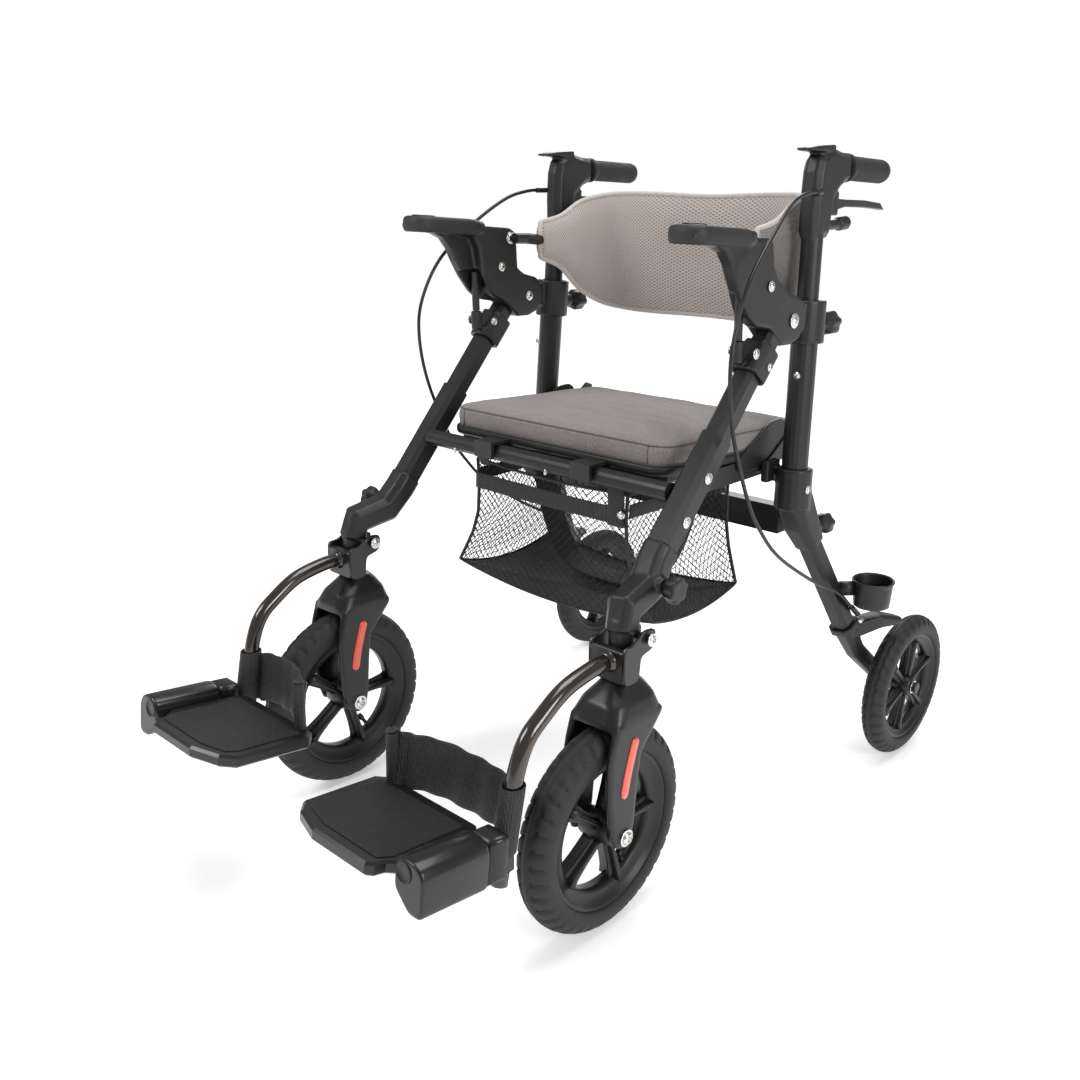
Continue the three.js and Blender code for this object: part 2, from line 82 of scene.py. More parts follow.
AMBIENT = 0.42                   # the white room's strength as light; the camera sees it at full white
world = bpy.data.worlds.new("studio")
bpy.context.scene.world = world
world.use_nodes = True
seen = world.node_tree.nodes["Background"]
seen.inputs[0].default_value = (1, 1, 1, 1)
lit = world.node_tree.nodes.new("ShaderNodeBackground")
lit.inputs[0].default_value = (1, 1, 1, 1)
lit.inputs[1].default_value = AMBIENT
ray = world.node_tree.nodes.new("ShaderNodeLightPath")
pick = world.node_tree.nodes.new("ShaderNodeMixShader")
world.node_tree.links.new(ray.outputs["Is Camera Ray"], pick.inputs[0])
world.node_tree.links.new(lit.outputs[0], pick.inputs[1])
world.node_tree.links.new(seen.outputs[0], pick.inputs[2])
world.node_tree.links.new(pick.outputs[0], world.node_tree.nodes["World Output"].inputs[0])


def softbox(name, place, target, size, power):
    light = bpy.data.lights.new(name, "AREA")
    light.size = size
    light.energy = power
    lamp = bpy.data.objects.new(name, light)
    bpy.context.scene.collection.objects.link(lamp)
    lamp.location = place
    lamp.rotation_euler = (Vector(target) - Vector(place)).to_track_quat("-Z", "Y").to_euler()


softbox("key", (-1.2, -2.1, 2.2), (0, 0, 0.5), 1.1, 36)
softbox("top", (0.2, 0.3, 2.7), (0, 0, 0.4), 1.6, 40)
softbox("side", (2.4, -0.3, 1.3), (0, 0, 0.4), 0.9, 26)
softbox("back", (-1.4, 2.2, 1.6), (0, 0, 0.4), 1.2, 22)


# ---- materials ----------------------------------------------------------------------
WAVE_SPAN = 0.314                # one band of a wave texture at scale 1, in metres


def surface(mat):
    return mat.node_tree.nodes["Principled BSDF"]


def shader(name, color, rough, metal=0.0, coat=0.0, sheen=0.0, specular=0.5):
    mat = bpy.data.materials.new(name)
    mat.use_nodes = True
    s = surface(mat)
    s.inputs["Base Color"].default_value = (*color, 1)
    s.inputs["Roughness"].default_value = rough
    s.inputs["Metallic"].default_value = metal
    s.inputs["Coat Weight"].default_value = coat
    s.inputs["Sheen Weight"].default_value = sheen
    s.inputs["Specular IOR Level"].default_value = specular
    return mat


def node(mat, kind, **values):
    made = mat.node_tree.nodes.new(kind)
    for key, value in values.items():
        if hasattr(made, key):
            setattr(made, key, value)
        else:
            made.inputs[key.replace("_", " ")].default_value = value
    return made


def join(mat, out, into):
    mat.node_tree.links.new(out, into)


def coords(mat):
    return node(mat, "ShaderNodeTexCoord").outputs["Object"]


def bump(mat, height, strength, distance):
    made = node(mat, "ShaderNodeBump", Strength=strength, Distance=distance)
    join(mat, height, made.inputs["Height"])
    last = surface(mat).inputs["Normal"]
    if last.is_linked:
        join(mat, last.links[0].from_socket, made.inputs["Normal"])
    join(mat, made.outputs["Normal"], last)


def mottled(mat, first, second, scale, low=0.35, high=0.65):
    """Base colour that drifts between two colours with noise."""
    cloud = node(mat, "ShaderNodeTexNoise", Scale=scale, Detail=4.0)
    join(mat, coords(mat), cloud.inputs["Vector"])
    ramp = node(mat, "ShaderNodeValToRGB")
    ramp.color_ramp.elements[0].position = low
    ramp.color_ramp.elements[1].position = high
    ramp.color_ramp.elements[0].color = (*first, 1)
    ramp.color_ramp.elements[1].color = (*second, 1)
    join(mat, cloud.outputs["Fac"], ramp.inputs["Fac"])
    join(mat, ramp.outputs["Color"], surface(mat).inputs["Base Color"])
    return ramp


def grained(name, first, second, rough, spread, scale, strength, coat=0.0, metal=0.0, specular=0.5):
    """A moulded or coated surface: fine grain, and roughness that varies where it is handled."""
    mat = shader(name, first, rough, metal, coat, specular=specular)
    mottled(mat, first, second, 9)
    grain = node(mat, "ShaderNodeTexNoise", Scale=scale, Detail=3.0)
    join(mat, coords(mat), grain.inputs["Vector"])
    bump(mat, grain.outputs["Fac"], strength, 0.0004)
    patch = node(mat, "ShaderNodeTexNoise", Scale=22.0, Detail=5.0)
    join(mat, coords(mat), patch.inputs["Vector"])
    reach = node(mat, "ShaderNodeMapRange", To_Min=rough - spread, To_Max=rough + spread)
    join(mat, patch.outputs["Fac"], reach.inputs["Value"])
    join(mat, reach.outputs["Result"], surface(mat).inputs["Roughness"])
    return mat


def threads(mat, direction, scale, turn=0.0):
    place = node(mat, "ShaderNodeMapping")
    place.inputs["Rotation"].default_value = (0, 0, turn)
    join(mat, coords(mat), place.inputs["Vector"])
    wave = node(mat, "ShaderNodeTexWave", bands_direction=direction, Scale=scale, Distortion=0.6, Detail=1.0)
    wave.inputs["Detail Scale"].default_value = 3.0
    join(mat, place.outputs["Vector"], wave.inputs["Vector"])
    return wave.outputs["Fac"]


def woven(name, first, second, period, strength, rough=0.9, turn=0.0, directions=("X", "Y", "Z"), sheen=0.2):
    """Cloth whose threads cross every period metres, in two close colours, with painted shade in the hollows
    between threads and a painted highlight on their crests.
    """
    mat = shader(name, first, rough, sheen=sheen)
    ramp = mottled(mat, first, second, 420, 0.3, 0.7)
    total = None
    for direction in directions:
        one = threads(mat, direction, WAVE_SPAN / period, turn)
        if total is None:
            total = one
            continue
        both = node(mat, "ShaderNodeMath", operation="ADD")
        join(mat, total, both.inputs[0])
        join(mat, one, both.inputs[1])
        total = both.outputs[0]
    bump(mat, total, strength, 0.0006)
    # painted shade and painted highlight: the base colour follows the threads' height, darker in the hollows
    # and lighter on the crests, the same height that drives the bump
    shade = node(mat, "ShaderNodeMapRange", From_Max=float(len(directions)), To_Min=0.78, To_Max=1.12)
    join(mat, total, shade.inputs["Value"])
    tint = node(mat, "ShaderNodeVectorMath", operation="SCALE")
    join(mat, ramp.outputs["Color"], tint.inputs[0])
    join(mat, shade.outputs["Result"], tint.inputs["Scale"])
    join(mat, tint.outputs["Vector"], surface(mat).inputs["Base Color"])
    return mat


def dark(name, level, rough, scale, strength, coat=0.0, specular=0.42):
    first = (level, level * 0.985, level * 0.98)
    second = tuple(c * 1.5 for c in first)
    return grained(name, first, second, rough, 0.07, scale, strength, coat, 0.0, specular)


POWDER = dark("powder_coat", 0.008, 0.36, 1900, 0.2)
PLASTIC = dark("moulded_black", 0.0075, 0.4, 2600, 0.25)
GLOSSY = dark("gloss_black", 0.0065, 0.3, 2200, 0.05, coat=0.1)
SATIN_BLACK = dark("satin_black", 0.007, 0.34, 2400, 0.1)
RIM = dark("rim_black", 0.006, 0.38, 2300, 0.2)
LACQUER = grained("brown_lacquer", (0.03, 0.023, 0.018), (0.04, 0.031, 0.024), 0.23, 0.04, 700, 0.05,
                  coat=0.9, metal=0.75)
TYRE = dark("tyre_rubber", 0.011, 0.6, 1400, 0.35, specular=0.4)
GRIP = dark("grip_rubber", 0.011, 0.58, 1800, 0.3)
ZINC = grained("bright_zinc", (0.62, 0.62, 0.6), (0.72, 0.71, 0.68), 0.26, 0.06, 900, 0.1, metal=1.0)
JACKET = dark("cable_jacket", 0.006, 0.34, 1500, 0.1)
SEAT = woven("seat_weave", (0.148, 0.13, 0.121), (0.245, 0.219, 0.206), 0.0014, 0.55)
SEAM = woven("seat_seam", (0.05, 0.043, 0.038), (0.075, 0.065, 0.058), 0.0011, 0.4)
BACKING = woven("grey_backing", (0.12, 0.112, 0.105), (0.17, 0.16, 0.15), 0.0016, 0.5)
SATIN = woven("satin_piping", (0.4, 0.365, 0.34), (0.48, 0.445, 0.42), 0.0009, 0.25, rough=0.5, sheen=0.4)
WEBBING = woven("black_webbing", (0.007, 0.007, 0.007), (0.02, 0.019, 0.018), 0.0022, 0.7, rough=0.6,
                sheen=0.05)
BASKET = woven("basket_cloth", (0.009, 0.009, 0.009), (0.022, 0.021, 0.021), 0.0026, 0.8, rough=0.7,
               sheen=0.1)
NET = dark("net_thread", 0.01, 0.5, 900, 0.1)


def air_mesh():
    """Spacer mesh: staggered rows of small holes darkened with painted shade, laid out along the pad's own
    surface map.
    """
    mat = shader("air_mesh", (0.4, 0.35, 0.32), 0.85, sheen=0.3)
    plan = node(mat, "ShaderNodeUVMap")
    place = node(mat, "ShaderNodeMapping")
    place.inputs["Rotation"].default_value = (0, 0, math.radians(45))
    place.inputs["Scale"].default_value = (300, 300, 300)
    join(mat, plan.outputs["UV"], place.inputs["Vector"])
    cells = node(mat, "ShaderNodeTexVoronoi", voronoi_dimensions="2D", Scale=1.0, Randomness=0.0)
    join(mat, place.outputs["Vector"], cells.inputs["Vector"])
    # painted shade: the holes, which the bump below sinks by the same cell distance, get the darker colour
    holes = node(mat, "ShaderNodeValToRGB")
    holes.color_ramp.elements[0].position = 0.16
    holes.color_ramp.elements[1].position = 0.42
    holes.color_ramp.elements[0].color = (0.17, 0.148, 0.132, 1)
    holes.color_ramp.elements[1].color = (0.42, 0.375, 0.343, 1)
    join(mat, cells.outputs["Distance"], holes.inputs["Fac"])
    soil = node(mat, "ShaderNodeTexNoise", Scale=14.0, Detail=4.0)
    join(mat, coords(mat), soil.inputs["Vector"])
    shade = node(mat, "ShaderNodeMapRange", To_Min=0.9, To_Max=1.08)
    join(mat, soil.outputs["Fac"], shade.inputs["Value"])
    tint = node(mat, "ShaderNodeVectorMath", operation="SCALE")
    join(mat, holes.outputs["Color"], tint.inputs[0])
    join(mat, shade.outputs["Result"], tint.inputs["Scale"])
    join(mat, tint.outputs["Vector"], surface(mat).inputs["Base Color"])
    bump(mat, cells.outputs["Distance"], 0.7, 0.0012)
    return mat


AIR = air_mesh()


def reflector():
    mat = shader("red_reflector", (0.75, 0.06, 0.035), 0.3, coat=0.6)
    cells = node(mat, "ShaderNodeTexVoronoi", Scale=420.0, Randomness=0.0)
    join(mat, coords(mat), cells.inputs["Vector"])
    tone = node(mat, "ShaderNodeValToRGB")
    tone.color_ramp.elements[0].color = (0.85, 0.11, 0.06, 1)
    tone.color_ramp.elements[1].color = (0.5, 0.03, 0.02, 1)
    join(mat, cells.outputs["Distance"], tone.inputs["Fac"])
    join(mat, tone.outputs["Color"], surface(mat).inputs["Base Color"])
    bump(mat, cells.outputs["Distance"], 0.5, 0.0006)
    return mat


RED = reflector()


def ribbed():
    mat = dark("ribbed_mat", 0.013, 0.5, 1500, 0.2)
    bump(mat, threads(mat, "X", WAVE_SPAN / 0.0036), 1.0, 0.0018)
    return mat


RIBBED = ribbed()

floor_mat = shader("floor", (0.9, 0.9, 0.9), 0.85, specular=0.1)
surface(floor_mat).inputs["Emission Color"].default_value = (1, 1, 1, 1)
# painted light: the floor glows, weakly near the walker and more strongly from 0.7 m to 2.6 m out, so the far
# floor reads white while the shadows near the walker still show; the glow also lights the walker from below
away = node(floor_mat, "ShaderNodeVectorMath", operation="LENGTH")
join(floor_mat, coords(floor_mat), away.inputs[0])
painted_floor_glow = node(floor_mat, "ShaderNodeMapRange", From_Min=0.7, From_Max=2.6, To_Min=0.34, To_Max=0.64)
painted_floor_glow.interpolation_type = "SMOOTHSTEP"
join(floor_mat, away.outputs["Value"], painted_floor_glow.inputs["Value"])
join(floor_mat, painted_floor_glow.outputs["Result"], surface(floor_mat).inputs["Emission Strength"])
floor_speck = node(floor_mat, "ShaderNodeTexNoise", Scale=60.0)
bump(floor_mat, floor_speck.outputs["Fac"], 0.02, 0.001)
bpy.ops.mesh.primitive_plane_add(size=60, location=(0, 0, -0.0005))
floor = bpy.context.object
floor.name = "floor"
floor.data.materials.append(floor_mat)


# ---- mesh helpers -------------------------------------------------------------------
def piece(name, verts, faces, mat, body, slot=None, smooth=True, flip=False):
    """A mesh piece riding on a body; flip mirrors it to the other side of the walker."""
    mesh = bpy.data.meshes.new(name)
    if flip:
        verts = [(-v[0], v[1], v[2]) for v in verts]
        faces = [tuple(reversed(f)) for f in faces]
    mesh.from_pydata([tuple(v) for v in verts], [], faces)
    mesh.validate()
    for polygon in mesh.polygons:
        polygon.use_smooth = smooth
    obj = bpy.data.objects.new(name, mesh)
    bpy.context.scene.collection.objects.link(obj)
    mesh.materials.append(mat)
    if body:
        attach(obj, body)
    return obj


def pair(name, verts, faces, mat, body, slot=None, replaces=None, **options):
    """The same piece on the left, and mirrored on the right."""
    made = []
    for side, sign in SIDES.items():
        owner = body if body in frame["bodies"] else f"{side}_{body}"
        obj = piece(f"{side}_{name}", verts, faces, mat, owner, slot, flip=sign < 0, **options)
        if replaces:
            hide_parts(f"{side}_{replaces}")
        made.append(obj)
    return made


def merged(*parts):
    verts, faces = [], []
    for more_verts, more_faces in parts:
        base = len(verts)
        verts += more_verts
        faces += [tuple(i + base for i in f) for f in more_faces]
    return verts, faces


def stack(rings, closed=False, caps=True):
    """Quads between rings of points; the ends are capped with a fan unless closed."""
    n = len(rings[0])
    verts = [Vector(v) for ring in rings for v in ring]
    faces = []
    for i in range(len(rings) if closed else len(rings) - 1):
        a, b = i * n, ((i + 1) % len(rings)) * n
        faces += [(a + j, a + (j + 1) % n, b + (j + 1) % n, b + j) for j in range(n)]
    if caps and not closed:
        for end in (0, len(rings) - 1):
            centre = sum((verts[end * n + j] for j in range(n)), Vector()) / n
            verts.append(centre)
            k = len(verts) - 1
            for j in range(n):
                a, b = end * n + j, end * n + (j + 1) % n
                faces.append((a, b, k) if end else (b, a, k))
    return verts, faces


def turned(profile, origin, axis, sides=48, closed=False):
    """Revolves (along, radius) points in millimetres about an axis through origin."""
    axis = Vector(axis).normalized()
    side = axis.orthogonal().normalized()
    other = axis.cross(side)
    rings = []
    for along, radius in profile:
        centre = Vector(origin) + axis * (along / 1000)
        rings.append([
            centre + (side * math.cos(t) + other * math.sin(t)) * (radius / 1000)
            for t in (2 * math.pi * k / sides for k in range(sides))
        ])
    return stack(rings, closed=closed)


def spline(points, steps):
    """A Catmull-Rom curve through the points, in equal parameter steps."""
    points = [Vector(p) for p in points]
    out = []
    for k in range(steps + 1):
        t = k / steps * (len(points) - 1)
        i = min(int(t), len(points) - 2)
        u = t - i
        p0, p1, p2, p3 = (points[max(0, min(len(points) - 1, i + d))] for d in (-1, 0, 1, 2))
        out.append(0.5 * (2 * p1 + (p2 - p0) * u + (2 * p0 - 5 * p1 + 4 * p2 - p3) * u * u
                          + (3 * p1 - p0 - 3 * p2 + p3) * u ** 3))
    return out


def swept(path, section, closed=False):
    """A section of (across, up) offsets in millimetres carried along a path without twisting."""
    n = len(path)
    up = None
    rings = []
    for i, p in enumerate(path):
        before = path[(i - 1) % n if closed else max(i - 1, 0)]
        after = path[(i + 1) % n if closed else min(i + 1, n - 1)]
        along = (after - before).normalized()
        if up is None:
            up = Vector((0, 0, 1)) if abs(along.z) < 0.9 else Vector((1, 0, 0))
        up = (up - along * up.dot(along)).normalized()
        across = up.cross(along)
        rings.append([p + (across * u + up * v) / 1000 for u, v in section])
    return stack(rings, closed=closed)


def circle(radius, sides=14):
    return [(radius * math.cos(2 * math.pi * k / sides), radius * math.sin(2 * math.pi * k / sides))
            for k in range(sides)]


def rounded(x0, x1, y0, y1, radius, steps=6):
    """A rectangle's outline with quarter-circle corners."""
    left, right, low, high = x0 + radius, x1 - radius, y0 + radius, y1 - radius
    points = []
    for k, (cx, cy) in enumerate([(right, high), (left, high), (left, low), (right, low)]):
        for i in range(steps + 1):
            t = (k + i / steps) * math.pi / 2
            points.append((cx + radius * math.cos(t), cy + radius * math.sin(t)))
    return points


def dense(ring, gap):
    """Adds points along a ring's long straight runs."""
    out = []
    for a, b in zip(ring, ring[1:] + ring[:1]):
        parts = max(1, round(math.dist(a, b) / gap))
        out += [(a[0] + (b[0] - a[0]) * k / parts, a[1] + (b[1] - a[1]) * k / parts) for k in range(parts)]
    return out


def plate(outline, x0, x1, edge):
    """A plate across X with eased edges; the outline is (y, z)."""
    cy = sum(y for y, z in outline) / len(outline)
    cz = sum(z for y, z in outline) / len(outline)
    levels = [(x0, edge), (x0 + edge * 0.3, edge * 0.3), (x0 + edge, 0)]
    levels += [(x1 - edge, 0), (x1 - edge * 0.3, edge * 0.3), (x1, edge)]
    rings = []
    for x, inset in levels:
        ring = []
        for y, z in outline:
            away = math.hypot(y - cy, z - cz)
            share = (away - inset) / away
            ring.append(at(x, cy + (y - cy) * share, cz + (z - cz) * share))
        rings.append(ring)
    return stack(rings)


def soft_outline(points, steps=4):
    """Rounds a polygon's corners with short curves."""
    out = []
    n = len(points)
    for i, p in enumerate(points):
        p, a, b = Vector((*p, 0)), Vector((*points[i - 1], 0)), Vector((*points[(i + 1) % n], 0))
        start, end = p.lerp(a, 0.3), p.lerp(b, 0.3)
        for k in range(steps + 1):
            t = k / steps
            q = start * (1 - t) ** 2 + p * 2 * t * (1 - t) + end * t ** 2
            out.append((q.x, q.y))
    return out


def tilt(points, degrees, y, z):
    """Turns points about the X line through the drawing's (y, z)."""
    pivot = at(0, y, z)
    spin = Matrix.Rotation(math.radians(degrees), 4, "X")
    turn = Matrix.Translation(pivot) @ spin @ Matrix.Translation(-pivot)
    return [turn @ Vector(p) for p in points]


# ---- carried-over CAD nodes: materials and softened edges ----------------------------
def dress(name, mat, bevel=0.0, moulded=0.0, rounds=6):
    """Gives a CAD node its material; moulded rounds all its edges as a moulding's are."""
    obj = cad[name]
    obj.data.materials.clear()
    obj.data.materials.append(mat)
    if moulded:
        remesh = obj.modifiers.new("moulded", "REMESH")
        remesh.mode = "VOXEL"
        remesh.voxel_size = moulded
        remesh.use_smooth_shade = True
        smooth = obj.modifiers.new("eased", "SMOOTH")
        smooth.factor = 0.5
        smooth.iterations = rounds
    elif bevel:
        edge = obj.modifiers.new("edge", "BEVEL")
        edge.width = bevel
        edge.segments = 2
        edge.limit_method = "ANGLE"
        edge.angle_limit = math.radians(30)
        edge.harden_normals = False


for side in SIDES:
    for name in ("front_leg", "rear_leg", "upright_tube", "strut"):
        dress(f"{side}_{name}", POWDER, bevel=0.0012)
    for name in ("rear_bracket", "clamp", "knee_socket", "armrest", "strut_collar", "rear_fork"):
        dress(f"{side}_{name}", PLASTIC, moulded=0.0018, rounds=4)
    dress(f"{side}_handle_post", PLASTIC, moulded=0.0016, rounds=5)
    dress(f"{side}_caster_fork", SATIN_BLACK, moulded=0.0018, rounds=16)
    dress(f"{side}_footplate", GLOSSY, bevel=0.0014)
    dress(f"{side}_brake_lever", GLOSSY, bevel=0.0012)
dress("front_crossbar", POWDER, bevel=0.001)
dress("rear_crossbar", POWDER, bevel=0.002)
dress("seat_board", PLASTIC, bevel=0.0015)
dress("backrest_bar", POWDER, bevel=0.0006)


# ---- wheels -------------------------------------------------------------------------
def tyre_mesh(x, y, radius, width, inner, lugs):
    """A tyre whose crown carries grooved blocks that run on over its shoulders."""
    half = width / 2
    around = lugs * 6
    profile = []
    for k in range(25):
        t = math.pi * k / 24
        across = -math.cos(t)
        rise = math.sin(t) ** 0.62
        profile.append((half * across * (1 - 0.06 * (1 - abs(across))), inner + (radius - inner) * rise))
    rings = []
    for i in range(around):
        turn = 2 * math.pi * i / around
        phase = (i / 6) % 1
        ring = []
        for k, (across, r) in enumerate(profile):
            share = abs(across) / half
            skew = phase + share * 0.45 + (0.5 if across > 0 else 0)
            groove = (skew % 1) < 0.2 and 0.26 < share < 0.96
            channel = 0.16 < share < 0.26
            depth = 3.6 if groove else (2.2 if channel else 0)
            reach = max(r - depth * min(1, (r - inner) / (radius - inner) * 1.4), inner)
            ring.append(at(x + across, y + reach * math.sin(turn), radius + reach * math.cos(turn)))
        bead_y, bead_z = y + (inner - 2) * math.sin(turn), radius + (inner - 2) * math.cos(turn)
        rings.append(ring + [at(x + half * 0.7, bead_y, bead_z), at(x - half * 0.7, bead_y, bead_z)])
    return stack(rings, closed=True)


def rim_mesh(x, y, radius, width, outer, opening, hub, spokes, turn0):
    half = width / 2
    ring = turned([
        (-half * 0.78, outer), (-half * 0.84, outer - 2), (-half * 0.8, outer - 5), (-half * 0.62, outer - 7),
        (-half * 0.45, opening + 4), (-half * 0.4, opening), (0, opening - 1), (half * 0.4, opening),
        (half * 0.45, opening + 4), (half * 0.62, outer - 7), (half * 0.8, outer - 5),
        (half * 0.84, outer - 2), (half * 0.78, outer), (0, outer + 1),
    ], at(x, y, radius), (1, 0, 0), 96, closed=True)
    core = turned([
        (-half, 7), (-half, hub - 2), (-half + 2, hub), (-half * 0.5, hub + 1), (0, hub + 4),
        (half * 0.5, hub + 1), (half - 2, hub), (half, hub - 2), (half, 7),
    ], at(x, y, radius), (1, 0, 0), 40, closed=True)
    arms = []
    for i in range(spokes):
        angle = turn0 + 2 * math.pi * i / spokes
        out = Vector((0, math.sin(angle), math.cos(angle)))
        side = Vector((0, out.z, -out.y))
        for wide, deep, push in ((3.2, half * 0.62, 0), (8.5, 2.4, half * 0.18)):
            rows = []
            for r, grow in ((hub - 3, 0.9), (hub + 6, 0.8), ((hub + opening) / 2, 0.85),
                            (opening - 8, 1.15), (opening + 3, 1.7)):
                centre = at(x + push, y, radius) + out * r / 1000
                w, d, c = wide * grow, deep * (0.75 + 0.25 * grow), 1.0
                outline = [(w, d - c), (w - c, d), (c - w, d), (-w, d - c), (-w, c - d), (c - w, -d),
                           (w - c, -d), (w, c - d)]
                rows.append([centre + (side * u + Vector((1, 0, 0)) * v) / 1000 for u, v in outline])
            arms.append(stack(rows))
    return merged(ring, core, *arms)


WHEELS = {
    "front": dict(x=241.4, y=-365, radius=127, width=44, outer=97, opening=75, hub=17, spokes=5,
                  lugs=40, turn=0.35),
    "rear": dict(x=302, y=260, radius=107, width=32, outer=82, opening=66, hub=14, spokes=6, lugs=36,
                 turn=0.2),
}
for where, w in WHEELS.items():
    pair(f"{where}_tread", *tyre_mesh(w["x"], w["y"], w["radius"], w["width"], w["outer"], w["lugs"]), TYRE,
         f"{where}_wheel", "tyre_rubber", replaces=f"{where}_tyre")
    rim = rim_mesh(w["x"], w["y"], w["radius"], w["width"], w["outer"], w["opening"], w["hub"],
                   w["spokes"], w["turn"])
    pair(f"{where}_wheel_rim", *rim, RIM, f"{where}_wheel", "rim_plastic", replaces=f"{where}_rim")
VALVE_TURN = 2.6
valve_out = Vector((0, math.sin(VALVE_TURN), math.cos(VALVE_TURN)))
valve_root = at(241.4, -365, 127) + valve_out * 0.074
valve_axis = Vector((0.25, -valve_out.y, -valve_out.z))
VALVE = [(-2, 4), (3, 4), (4, 2.6), (14, 2.6), (15, 4), (22, 4), (23, 3)]
pair("valve", *turned(VALVE, valve_root, valve_axis, 14), JACKET, "front_wheel", "tyre_rubber")


# ---- bolts --------------------------------------------------------------------------
def bolt(place, axis, radius, height=3.0):
    """A button-head bolt with a hexagon socket and a washer under it."""
    r = radius
    washer = turned([(0, r * 0.4), (0, r * 1.35), (0.9, r * 1.4), (1.2, r * 1.3), (1.2, r * 0.4)],
                    place, axis, 24)
    head = turned([(1, r * 0.3), (1.1, r), (height * 0.55, r * 0.97), (height * 0.9, r * 0.75),
                   (height, r * 0.52)], place, axis, 24)
    socket = turned([(height, r * 0.52), (height * 0.45, r * 0.5), (height * 0.4, 0.01)], place, axis, 6)
    return merged(washer, head, socket)


X = (1, 0, 0)
FRONT_BOLTS = [
    (241, -78, 709, 4.6), (241, -22, 665, 6.5), (242, -103, 634, 4.6), (245, -77, 616, 3.6),
    (242, -187, 501, 5), (242, -225.8, 457, 5), (271, -320, 351, 5.5),
]
INNER_BOLTS = [(203.6, -60, 748, 6), (203.8, -78, 709, 4.6), (203.8, -22, 665, 5),
               (211, -320, 351, 5.5), (202.6, -96, 634, 4)]
front_bolts = [bolt(at(x, y, z), X, r) for x, y, z, r in FRONT_BOLTS]
front_bolts += [bolt(at(x, y, z), (-1, 0, 0), r) for x, y, z, r in INNER_BOLTS]
pair("front_bolts", *merged(*front_bolts), ZINC, "front_frame", "gloss_black")
axle_bolts = merged(bolt(at(278.8, -365, 127), X, 7.5, 5), bolt(at(204, -365, 127), (-1, 0, 0), 7.5, 5))
pair("axle_bolts", *axle_bolts, ZINC, "caster", "gloss_black")
rear_bolts = [bolt(at(319, 260, 107), X, 7, 5), bolt(at(247.4, 30, 445), X, 4),
              bolt(at(279, 148, 236), (0.6, -0.5, 0.5), 4.5)]
pair("rear_bolts", *merged(*rear_bolts), ZINC, "rear_frame", "gloss_black")
hinge_bolts = merged(bolt(at(214, 36.5, 592), (0, -1, 0.05), 3.5), bolt(at(226, 20, 592), (0, -1, 0), 3.2))
pair("hinge_bolts", *hinge_bolts, ZINC, "rear_frame", "gloss_black")


# ---- hand knobs ---------------------------------------------------------------------
def knob(place, axis, radius, depth):
    """A hand knob with six lobes on a narrow neck; a level is (along, share of radius, lobes)."""
    axis = Vector(axis).normalized()
    side = axis.orthogonal().normalized()
    other = axis.cross(side)
    levels = [(0, 0.55, 0), (5, 0.62, 0), (6, 0.9, 0.7), (8, 0.98, 1)]
    levels += [(depth - 3, 1, 1), (depth - 1, 0.95, 1), (depth, 0.84, 0.8), (depth - 0.6, 0.5, 0)]
    rings = []
    for along, share, lobes in levels:
        ring = []
        for k in range(72):
            t = 2 * math.pi * k / 72
            r = radius * share * (1 - 0.075 * lobes * (1 + math.cos(6 * t)))
            ring.append(place + axis * along / 1000 + (side * math.cos(t) + other * math.sin(t)) * r / 1000)
        rings.append(ring)
    return stack(rings)


pair("clamp_handwheel", *knob(at(219, 82.8, 650), (0, 1, 0), 16, 26), PLASTIC, "clamp_screw",
     "moulded_black", replaces="clamp_knob")
pair("rear_handwheel", *knob(at(231, 96.8, 378), (0, 1, 0), 15, 22), PLASTIC, "rear_screw",
     "moulded_black", replaces="rear_knob")
pair("knee_handwheel", *knob(at(256.2, -279, 397), X, 16, 20), PLASTIC, "knee_screw", "moulded_black",
     replaces="knee_knob")


# ---- armrest pads -------------------------------------------------------------------
ARM_TILT = (-4, -232, 772)
pad_rings = []
for grow, z in ((-4, 761.5), (-1.2, 762.4), (0, 765), (0.6, 771), (0.4, 777), (-1.2, 780.4),
                (-4.5, 782), (-12, 782.6)):
    ring = rounded(196 - grow, 246 + grow, -232 - grow, -118 + grow, min(22, 22 + grow), 8)
    pad_rings.append([at(x, y, z) for x, y in ring])
verts, faces = stack(pad_rings)
pair("armrest_pad", tilt(verts, *ARM_TILT), faces, GRIP, "front_frame", "moulded_black")
ridges = []
for k in range(8):
    inset, y = 3 * abs(k - 3.5), -222 + k * 4.5
    ridges.append(swept([at(206 + inset, y, 782.9), at(236 - inset, y, 782.9)], circle(0.9, 8)))
verts, faces = merged(*ridges)
pair("armrest_ridges", tilt(verts, *ARM_TILT), faces, GRIP, "front_frame", "moulded_black")


# ---- grips and cables ---------------------------------------------------------------
grip_from, grip_to = at(213.86, 116.2, 840.7), at(212.2, 219, 836.4)
grip_length = (grip_to - grip_from).length * 1000
profile = [(0, 9), (0, 16.5), (1, 17.5), (5, 17.5), (6.5, 15.2)]
for k in range(14):
    start = 12 + k * 5.6
    profile += [(start, 15), (start + 0.8, 14.1), (start + 2, 14.1), (start + 2.8, 15)]
profile += [(grip_length - 6, 15), (grip_length - 2, 14), (grip_length, 11), (grip_length, 0.1)]
pair("grip_sleeve", *turned(profile, grip_from, grip_to - grip_from, 40), GRIP, "handle",
     "grip_rubber", replaces="grip")

